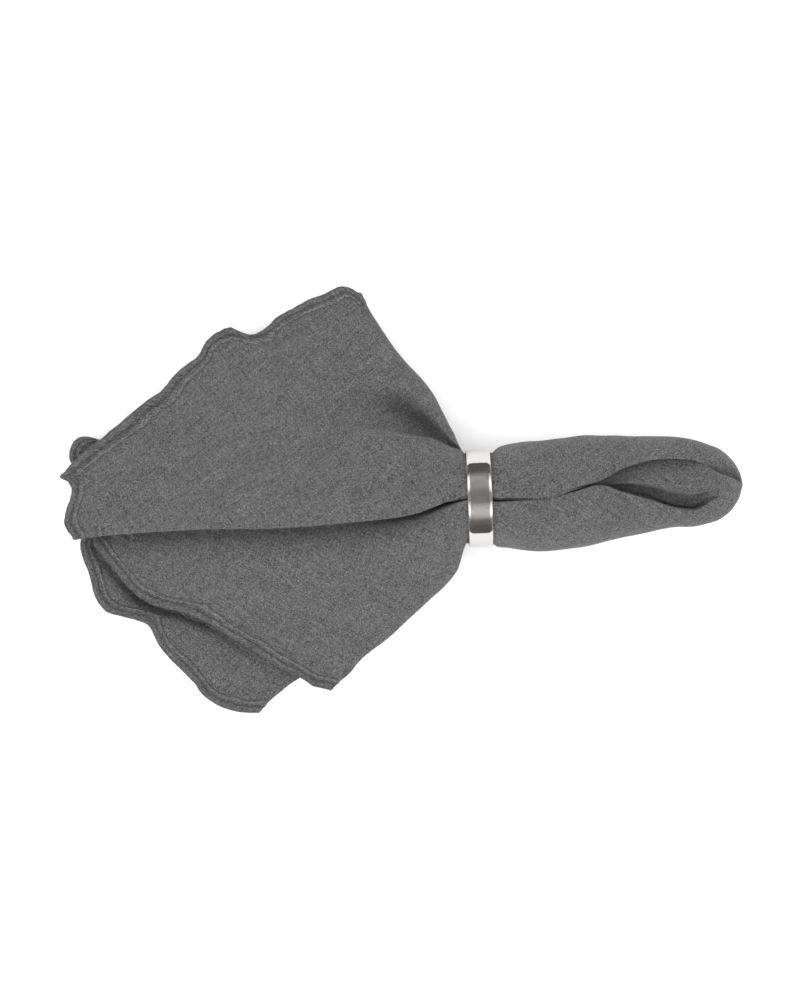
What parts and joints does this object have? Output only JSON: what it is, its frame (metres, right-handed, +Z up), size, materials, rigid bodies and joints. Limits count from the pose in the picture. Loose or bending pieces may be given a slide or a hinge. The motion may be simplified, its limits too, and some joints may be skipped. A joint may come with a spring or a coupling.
{
  "type": "cloth napkin in a ring",
  "caption": "Square linen napkin drawn up at its middle through a plain polished metal ring, with its folded edges fanned out on the table.",
  "frame": {"origin": "on the table, under the middle of the whole object's length and width", "axes": "+X runs from the fanned edges to the closed end, +Y across the object to the side where the folded strip lies, +Z up from the table"},
  "size_m": [0.3121, 0.194, 0.0449],
  "materials": {
    "linen": "washed dark grey linen, plain weave, matt",
    "polished_steel": "mirror polished"
  },
  "bodies": {
    "root": {"napkin": "linen", "ring": "polished_steel"}
  },
  "joints": []
}
